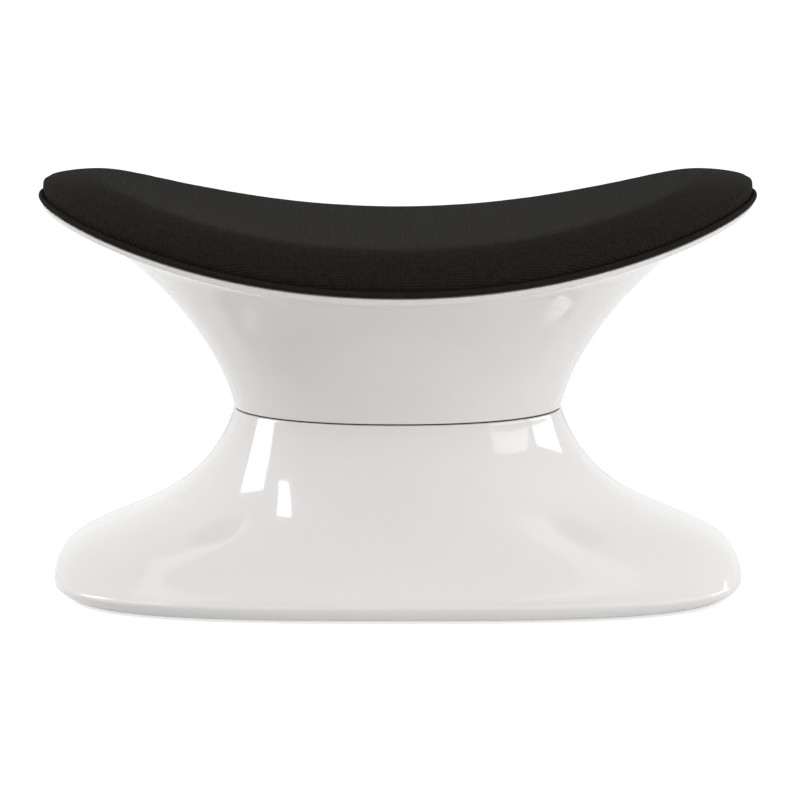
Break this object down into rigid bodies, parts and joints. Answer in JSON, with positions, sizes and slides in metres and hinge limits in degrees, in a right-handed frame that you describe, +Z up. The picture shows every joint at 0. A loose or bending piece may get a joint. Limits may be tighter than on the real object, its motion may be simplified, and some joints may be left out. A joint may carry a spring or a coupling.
{
  "type": "ottoman",
  "caption": "Low ottoman: gloss white flared shells joined at a waist, under an upholstered black saddle seat.",
  "frame": {"origin": "on the floor under the middle of the object", "axes": "+X along the seat's long side, -Y to the front, +Z up"},
  "size_m": [0.6792, 0.4582, 0.3972],
  "materials": {
    "gloss_shell": "gloss",
    "black_fabric": "matte",
    "cushion_foam": "matte",
    "plywood": "satin",
    "zinc_steel": "satin",
    "black_rubber": "matte"
  },
  "bodies": {
    "root": {"base_shell": "gloss_shell", "upper_shell": "gloss_shell", "waist_gasket": "black_rubber", "seat_cover": "black_fabric", "seat_welt": "black_fabric", "seat_foam": "cushion_foam", "seat_board": "plywood", "seat_tee_nuts": "zinc_steel", "seat_bolts": "zinc_steel", "seat_washers": "zinc_steel", "waist_bolts": "zinc_steel", "waist_washers": "zinc_steel", "waist_nuts": "zinc_steel", "base_board": "plywood", "board_cleats": "plywood", "board_screws": "zinc_steel", "foot_pads": "black_rubber"}
  },
  "joints": []
}
